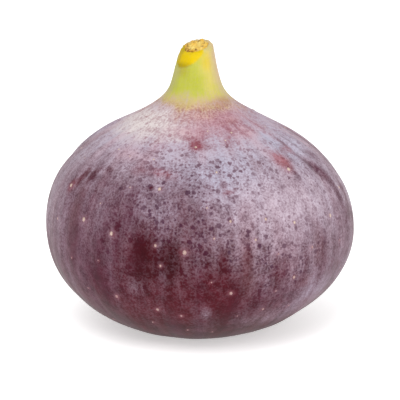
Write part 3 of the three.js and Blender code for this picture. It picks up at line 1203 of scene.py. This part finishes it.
    def centre(self, grown: np.ndarray) -> None:
        """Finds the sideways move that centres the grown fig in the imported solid's box."""
        low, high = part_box(NODE)
        middle = (low + high) / 2 / MM
        self.axis = Vector(
            (
                middle.x - (grown[:, 0].min() + grown[:, 0].max()) / 2,
                middle.y - (grown[:, 1].min() + grown[:, 1].max()) / 2,
                0,
            )
        )

    def crease(self, grown: np.ndarray, canvas: Canvas) -> np.ndarray:
        """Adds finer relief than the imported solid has: thin ribs, soft dents, folds, the peeled band.

        Args:
            grown: The vertices, which are moved.
            canvas: The same vertices laid out.

        Returns:
            How far each vertex was lifted, in millimetres.
        """
        turn = np.radians(canvas.bearing)
        fade = smoothstep(canvas.radius, 10, 17) * smoothstep(canvas.height, 47, 42)
        neck = smoothstep(canvas.height, 40, 43) * smoothstep(canvas.height, 50.5, 48.5)
        around = canvas.drawn_out(0.14)[:, [1, 0, 2]]  # turned, so that ribs and streaks differ
        rib, ripple, dent, neck_rib, rim_rag = 0.15, 0.06, 0.12, 0.07, 0.16
        lift = rib * relief(around, 4.2, 11) + ripple * relief(around, 1.7, 12)
        lift = (lift + dent * relief(grown, 11, 13)) * fade
        lift = lift + neck_rib * relief(around, 5.5, 14) * neck
        for fold in CREASES:
            lift = lift - canvas.cover(fold)
        lift = lift - self.peel_depth * self.peeled(canvas, 0.25)
        out = np.stack([np.sin(turn), -np.cos(turn), np.zeros_like(turn)], axis=1)
        grown += out * lift[:, None]
        rim = smoothstep(canvas.height, 50.2, 51.2) * smoothstep(canvas.radius, 1.9, 2.3)
        grown[:, 2] += rim_rag * relief(grown, 0.55, 15) * rim
        return lift

    def peeled(self, canvas: Canvas, soft: float) -> np.ndarray:
        """How far each vertex lies in the peeled yellow band under the cut, from 0 to 1."""
        slope = np.cos(np.radians(canvas.bearing - self.peel_towards))
        edge = self.peel_height - self.peel_fall * slope + 0.22 * canvas.ragged
        edge = edge + 3 * smoothstep(slope, 0.15, -0.15)  # the far side isn't peeled
        soft = soft * (1 + 2.5 * smoothstep(canvas.bearing, -30, 20))  # it fades out to the right
        return smoothstep(canvas.height, edge - soft, edge + soft)

    def paint(self, mesh: bpy.types.Mesh, canvas: Canvas, lift: np.ndarray, marks: WildMarks) -> None:
        """Paints the colour under the bloom, its own colour and thickness, and where drops marked it.

        Args:
            mesh: The skin's mesh.
            canvas: Its vertices laid out.
            lift: The fine relief, because the bloom stays in the hollows.
            marks: Draws what the far side wears.
        """
        peeled = self.peeled(canvas, self.peel_soft)
        under = self.ripened(canvas)
        # The colour under the bloom also holds the darker base and the olive foot of the band, both
        # painted shade in part or whole.
        under = canvas.tint(under, UNDER_STROKES + marks.flushes(self.flush_count) + self.halos())
        paint_colour(mesh, "under", self.stalk_end(under, canvas, peeled))

        # The bloom also holds the rim strokes, partly a painted reflection, and the fold strokes and thin
        # base, partly painted shade.
        rubs = BLOOM_STROKES + marks.rubs(self.rub_count)
        bloom = canvas.lay(canvas.climb(BLOOM_STEPS, self.bloom_wander), rubs)
        held = self.hollow_hold * lift * smoothstep(canvas.height, 44, 40)
        bloom = np.clip(bloom - held, 0, 1)
        paint_value(mesh, "bloom", bloom * (1 - peeled))

        wax = np.tile(rgb(Hue.LILAC_WAX), (len(bloom), 1))
        wax = over(over(wax, Hue.BLUE_WAX, 0.7 * canvas.cool), Hue.ROSY_WAX, 0.45 * canvas.warm)
        # The wax colour also holds the grey rim strokes, a painted reflection.
        paint_colour(mesh, "wax", canvas.tint(wax, WAX_STROKES))

        spots = canvas.lay(np.full(len(bloom), 0.3), SPOT_STROKES)
        paint_value(mesh, "spots", spots * smoothstep(canvas.height, 43, 40.5))
        freckles = smoothstep(canvas.height, 43.4, 40.6) * smoothstep(canvas.height, 35.5, 38.5)
        paint_value(mesh, "freckles", 0.9 * freckles)
        paint_value(mesh, "mottled", 1 - 0.85 * smoothstep(canvas.height, 40.5, 43.5))

    def halos(self) -> list[Stroke]:
        """The rosier skin round each dot."""
        reach, strength = 0.8, 0.45
        return [
            Stroke("halo", bearing, height, reach * size, reach * size, strength, 0, 0.9, Hue.HALO)
            for bearing, height, size in self.dots
        ]

    def ripened(self, canvas: Canvas) -> np.ndarray:
        """The colour under the bloom by height, which drifts to plum and to red below the shoulder."""
        low = 0.7 * smoothstep(canvas.height, 37, 31)
        under = canvas.blend(UNDER_STEPS, self.under_wander)
        under = over(under, Hue.PLUM, low * canvas.cool)
        return over(under, Hue.RED_WINE, low * canvas.warm)

    def stalk_end(self, under: np.ndarray, canvas: Canvas, peeled: np.ndarray) -> np.ndarray:
        """Lays the peeled yellow band, its olive foot, which is painted shade under the band's ledge and
        down the stalk's left side, and the pale lip of the cut over the stalk.

        Args:
            under: The colour of each vertex.
            canvas: The vertices laid out.
            peeled: How far each lies in the band.

        Returns:
            The new colours.
        """
        # The olive foot is painted shade: under the band's ledge, most on the stalk's left side.
        foot = smoothstep(self.peeled(canvas, 0.5), 0.0, 0.5)
        left = smoothstep(canvas.bearing, 0, -40) * (1 - 0.85 * smoothstep(canvas.height, 48.5, 49.6))
        end = 0.7 * smoothstep(canvas.bearing, -50, -80)
        rim = np.interp((self.lip_from, self.lip_to), canvas.heights, canvas.lengths)
        lip = smoothstep(canvas.along + 0.35 * canvas.ragged, *rim) * (1 - peeled)
        lip = lip * (0.3 + 0.6 * smoothstep(np.abs(canvas.bearing), 60, 120))
        under = over(under, Hue.SAP_YELLOW, peeled)
        under = over(under, Hue.OLIVE_SHADE, 0.8 * foot * np.maximum(left, end))
        return over(under, Hue.CREAM_SKIN, lip)


@dataclass
class Lenticels:
    """The pale corky dots through which the skin breathes, each a low dome."""

    skin: FigSkin
    proud: float = 0.24  # a dome's height, as a share of its radius
    narrow: float = 0.92  # its width and its length along the skin, as shares too
    drawn: float = 1.1

    def build(self) -> bpy.types.Object:
        """Sets a dome on the skin at each dot.

        Returns:
            All the domes as one piece.
        """
        mesh = self.skin.piece.data
        places = [vert.co.copy() for vert in mesh.vertices]
        surface = BVHTree.FromPolygons(places, [face.vertices[:] for face in mesh.polygons])
        shape = bmesh.new()
        for bearing, height, size in self.skin.dots:
            self.dome(shape, surface, bearing, height, size)
        piece = Seam.finish(shape, "lenticels", 1e-6)
        places = place_of(piece.data)
        rosy = 0.15 + 0.3 * relief(places, 6.0, 21) + 0.5 * smoothstep(places[:, 2], 26, 18)
        pale = np.tile(rgb(Hue.LENTICEL), (len(places), 1))
        paint_colour(piece.data, "flesh", over(pale, Hue.HALO, np.clip(rosy, 0, 1)))
        # Dry cork, so it is matt, with a grain too fine to catch the light.
        cork = FleshFinish("cork_of_lenticels", roughness=0.6, grain=0.15, depth=0.02, shade=0.25)
        piece.data.materials.append(cork.material())
        return piece

    def dome(
        self, shape: bmesh.types.BMesh, surface: BVHTree, bearing: float, height: float, size: float
    ) -> None:
        """Adds one dome, sunk to its waist in the skin and drawn out a little along it."""
        turn, clear = math.radians(bearing), 60
        out = Vector((math.sin(turn), -math.cos(turn), 0))
        start = self.skin.axis + Vector((0, 0, height)) + out * clear
        spot, normal, _, _ = surface.ray_cast(start * MM, -out)
        if spot is None:
            return
        made = bmesh.ops.create_icosphere(shape, subdivisions=1, radius=size / 2)
        stand = normal.to_track_quat("Z", "Y").to_matrix()
        squash = Matrix.Diagonal((self.narrow, self.drawn, self.proud)).to_3x3()
        bmesh.ops.transform(
            shape,
            matrix=Matrix.Translation(spot / MM) @ (stand @ squash).to_4x4(),
            verts=made["verts"],
        )


@dataclass
class StalkCut:
    """The face where the stalk was cut: moist cream pith, a ring of brown bundles, and torn shreds."""

    skin: FigSkin
    radius: float = 2.38  # so that the torn pith laps over the rim
    foot_radius: float = 2.1
    depth: float = 0.7  # how deep the pith reaches into its pocket
    rings: int = 26
    turns: int = 112
    bundle_ring: float = 1.45
    bundles: int = 7
    torn_towards: float = -48.0
    shreds: int = 18
    shred_tip: float = 0.03
    torn_share: float = 0.75  # of the shreds stand on the torn side

    def build(self) -> bpy.types.Object:
        """Spins the pith, roughens it, and sets the shreds on its torn side.

        Returns:
            The pith and its shreds as one piece.
        """
        top = self.skin.outline.cut_height
        shape = bmesh.new()
        corners = [(0.0, top), (self.radius, top), (self.foot_radius, top - self.depth)]
        line = [shape.verts.new((x, 0, z)) for x, z in corners]
        face = shape.edges.new(line[:2])
        shape.edges.new(line[1:])
        bmesh.ops.subdivide_edges(shape, edges=[face], cuts=self.rings)
        bmesh.ops.spin(
            shape,
            geom=shape.verts[:] + shape.edges[:],
            cent=ORIGIN,
            axis=UPRIGHT,
            angle=math.tau,
            steps=self.turns,
            use_merge=True,
        )
        self.add_shreds(shape)
        piece = Seam.finish(shape, "stalk_cut", 1e-4)
        places = place_of(piece.data)
        flesh = self.tear(places, top)
        move_to(piece.data, self.skin.grow(places) + self.skin.axis)
        paint_colour(piece.data, "flesh", flesh)
        # Wet with sap, so it glistens where the fibres stand up.
        pith = FleshFinish("moist_pith_of_fig_stalk", roughness=0.42, grain=0.18, depth=0.05, shade=0.15)
        piece.data.materials.append(pith.material())
        return piece

    def add_shreds(self, shape: bmesh.types.BMesh) -> None:
        """Stands small bent shreds of torn tissue along the rim, most of them on the torn side."""
        draw = random.Random(12)
        top = self.skin.outline.cut_height
        for _ in range(self.shreds):
            length, lean = draw.uniform(0.35, 0.7), draw.uniform(-50, 35)
            made = bmesh.ops.create_cone(
                shape,
                cap_ends=True,
                segments=7,
                radius1=draw.uniform(0.13, 0.24),
                radius2=self.shred_tip,
                depth=length,
            )
            spread = draw.uniform(-70, 70) if draw.random() < self.torn_share else draw.uniform(-180, 180)
            stand = (
                Matrix.Rotation(math.radians(self.torn_towards + spread - 90), 4, "Z")
                @ Matrix.Translation((draw.uniform(1.45, 1.95), 0, top - 0.02))
                @ Matrix.Rotation(math.radians(lean), 4, "Y")
                @ Matrix.Translation((0, 0, 0.2 * length))
            )
            bmesh.ops.transform(shape, matrix=stand, verts=made["verts"])

    def tear(self, places: np.ndarray, top: float) -> np.ndarray:
        """Gives the face its torn, fibrous relief.

        Args:
            places: The vertices, which are moved.
            top: The height of the rim.

        Returns:
            The colour of each vertex, as linear RGB.
        """
        radius = np.hypot(places[:, 0], places[:, 1])
        bearing = np.arctan2(places[:, 0], -places[:, 1])
        torn = np.cos(bearing - math.radians(self.torn_towards))
        coarse, fine = relief(places, 0.95, 31), relief(places, 0.4, 32)
        ring = np.exp(-(((radius - self.bundle_ring) / 0.28) ** 2))
        bundle = ring * smoothstep(np.cos(self.bundles * bearing + 6 * coarse), 0.3, 0.9)
        hollow = smoothstep(radius, 1.6, 0.4)
        shelf = smoothstep(places[:, 2], top - 0.3, top - 0.05)
        notch = smoothstep(torn, 0.4, 0.9) * smoothstep(radius, 1.1, 1.6) * smoothstep(fine, -0.3, 0.25)
        lap = smoothstep(radius, 2.0, self.radius)
        lift = 0.34 * coarse + 0.24 * fine + 0.14 * bundle - 0.2 * hollow - 0.4 * notch
        places[:, 2] += shelf * (lift - 0.02 - 0.16 * lap)  # the edge that laps over bends down
        places[:, :2] *= (1 + 0.09 * fine * smoothstep(radius, 1.6, 2.2))[:, None]

        golden = 0.45 + 0.8 * coarse + 0.45 * smoothstep(radius, 1.2, 2.0)
        specks = smoothstep(relief(places, 0.32, 33), 0.15, 0.45)
        specks = specks * (0.15 + 0.5 * smoothstep(torn, -0.2, 0.9))
        brown = 0.5 * bundle + 0.8 * notch + specks
        burnt = 0.8 * smoothstep(bundle * (1 + fine), 0.75, 1.1)
        flesh = np.tile(rgb(Hue.PITH), (len(places), 1))
        for hue, share in ((Hue.AMBER, golden), (Hue.FIBRE, brown), (Hue.SCAR, burnt)):
            flesh = over(flesh, hue, np.clip(share, 0, 1))
        return flesh


@dataclass
class EyeScales:
    """The small dry scales that overlap inwards and close the eye underneath."""

    skin: FigSkin
    rings: tuple = (  # how many, where they start and end, how wide, and how high at both ends
        (9, 4.35, 2.1, 1.5, 0.5, 0.3),
        (8, 3.3, 1.1, 1.15, 0.7, 0.35),
        (6, 2.2, 0.25, 0.85, 0.9, 0.4),
    )
    thickness: float = 0.1

    def build(self) -> bpy.types.Object:
        """Lays the scales ring by ring.

        Returns:
            All the scales as one piece.
        """
        draw = random.Random(5)
        shape = bmesh.new()
        for turn, (count, start, end, width, low, high) in enumerate(self.rings):
            for i in range(count):
                bearing = math.tau * (i + 0.5 * (turn % 2) + draw.uniform(-0.12, 0.12)) / count
                reach = (start - end) * draw.uniform(0.88, 1.08)
                self.scale(shape, bearing, start, reach, width, (low, high))
        bmesh.ops.recalc_face_normals(shape, faces=shape.faces)
        bmesh.ops.solidify(shape, geom=shape.faces[:], thickness=self.thickness)
        piece = Seam.finish(shape, "eye_scales", 1e-5)
        places = place_of(piece.data)
        mottle = np.clip(0.5 + 0.7 * relief(places, 0.8, 41), 0, 1)
        inner = smoothstep(np.hypot(places[:, 0], places[:, 1]), 3.6, 1.0)
        dry = np.clip(0.6 * inner + 0.5 * mottle, 0, 1)
        pale = np.tile(rgb(Hue.SCALE), (len(places), 1))
        paint_colour(piece.data, "flesh", over(pale, Hue.SCALE_TIP, dry))
        move_to(piece.data, places + self.skin.axis)
        # Papery and dull; painted shade darkens the wrinkles.
        papery = FleshFinish("dry_eye_scales", roughness=0.68, grain=0.3, depth=0.05, shade=0.35)
        piece.data.materials.append(papery.material())
        return piece

    @staticmethod
    def scale(
        shape: bmesh.types.BMesh,
        bearing: float,
        start: float,
        reach: float,
        width: float,
        levels: tuple[float, float],
    ) -> None:
        """Adds one scale: a pointed, arched leaf that reaches inwards.

        Args:
            shape: The bmesh to add it to.
            bearing: Where it stands, in radians.
            start: Its foot's distance from the axis.
            reach: Its length.
            width: Half its width at the foot.
            levels: The heights of its foot and of its tip.
        """
        leaf = bmesh.ops.create_grid(shape, x_segments=6, y_segments=9, size=0.5)["verts"]
        for vert in leaf:
            share = vert.co.y + 0.5
            side = 2 * vert.co.x
            spread = width * math.sqrt(max(1 - share**1.6, 0.0025))
            bow = 0.22 * math.sin(math.pi * share) + 0.14 * side * side
            level = levels[0] + (levels[1] - levels[0]) * share - 0.35 * bow + 0.18 * side * side
            vert.co = Vector((start - reach * share, side * spread, level))
        bmesh.ops.rotate(
            shape, verts=leaf, cent=ORIGIN, matrix=Matrix.Rotation(bearing, 3, "Z")
        )


def settle(piece: bpy.types.Object, slot: str) -> None:
    """Lets a piece ride on the fig's one body and logs its faces with the slot name given."""
    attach(piece, BODY)
    LOG.info("%s: %d faces, slot %s", piece.name, len(piece.data.polygons), slot)


# ---------------------------------------------------------------------------- the studio


@dataclass(frozen=True)
class Studio:
    """A pale seamless floor, a white surround, soft lamps and the camera."""

    aim_height: float = 23.15
    distance: float = 450.0
    elevation: float = 15.0
    lens: float = 222.1
    sensor: float = 36.0
    sight: float = 50_000.0  # how far the camera sees
    floor_size: float = 6000.0
    paper_roughness: float = 0.9
    paper_glow: float = 0.5  # light through the paper from below, which softens the shadow
    surround_light: float = 0.74

    def build(self) -> None:
        """Makes the whole studio."""
        self.camera()
        self.floor()
        self.surround()
        self.lamp("key", (-110, -430, 560), size=420, power=2.4)
        self.lamp("fill", (420, -300, 260), size=320, power=0.6)
        bpy.context.scene.view_settings.view_transform = "Standard"

    def camera(self) -> None:
        """Puts up the camera, a long lens looking slightly down."""
        data = bpy.data.cameras.new("camera")
        data.lens = self.lens
        data.sensor_width = self.sensor
        data.clip_end = self.sight * MM
        camera = bpy.data.objects.new("camera", data)
        tilt = math.radians(self.elevation)
        back = Vector((0, -math.cos(tilt), math.sin(tilt))) * self.distance
        aim = Vector((0, 0, self.aim_height))
        camera.location = (aim + back) * MM
        camera.rotation_euler = (-back).to_track_quat("-Z", "Y").to_euler()
        bpy.context.scene.collection.objects.link(camera)
        bpy.context.scene.camera = camera

    def floor(self) -> None:
        """Lays the floor, which isn't part of the fig."""
        shape = bmesh.new()
        bmesh.ops.create_grid(shape, x_segments=2, y_segments=2, size=self.floor_size / 2)
        floor = Seam.finish(shape, "floor")
        made, _, shader = new_finish("matt_white_paper")
        paper = {
            "Base Color": linear(Hue.PAPER),
            "Roughness": self.paper_roughness,
            "Emission Color": linear(Hue.PAPER),
            "Emission Strength": self.paper_glow,
        }
        plug(shader, paper)
        floor.data.materials.append(made)

    def surround(self) -> None:
        """Makes the white world round the table."""
        world = bpy.data.worlds.new("white_surround")
        world.use_nodes = True
        white = {"Color": (1, 1, 1, 1), "Strength": self.surround_light}
        plug(world.node_tree.nodes["Background"], white)
        bpy.context.scene.world = world

    def lamp(self, name: str, place: tuple[float, float, float], size: float, power: float) -> None:
        """Hangs one soft square lamp that faces the fig.

        Args:
            name: The lamp's name.
            place: Where it hangs, in millimetres.
            size: Its side, in millimetres.
            power: Watts.
        """
        data = bpy.data.lights.new(name, "AREA")
        data.size = size * MM
        data.energy = power
        lamp = bpy.data.objects.new(name, data)
        lamp.location = Vector(place) * MM
        aim = Vector((0, 0, self.aim_height)) * MM
        lamp.rotation_euler = (aim - lamp.location).to_track_quat("-Z", "Y").to_euler()
        bpy.context.scene.collection.objects.link(lamp)


def main() -> None:
    """Builds the studio and the fig's pieces in order."""
    logging.basicConfig(level=logging.INFO, format="%(name)s: %(message)s")
    Studio().build()
    skin = FigSkin()
    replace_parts(skin.build(), NODE)
    settle(skin.piece, "skin")
    settle(StalkCut(skin).build(), "stalk_cut")
    settle(EyeScales(skin).build(), "eye_scales")
    settle(Lenticels(skin).build(), "lenticels")


if __name__ == "__main__":
    main()
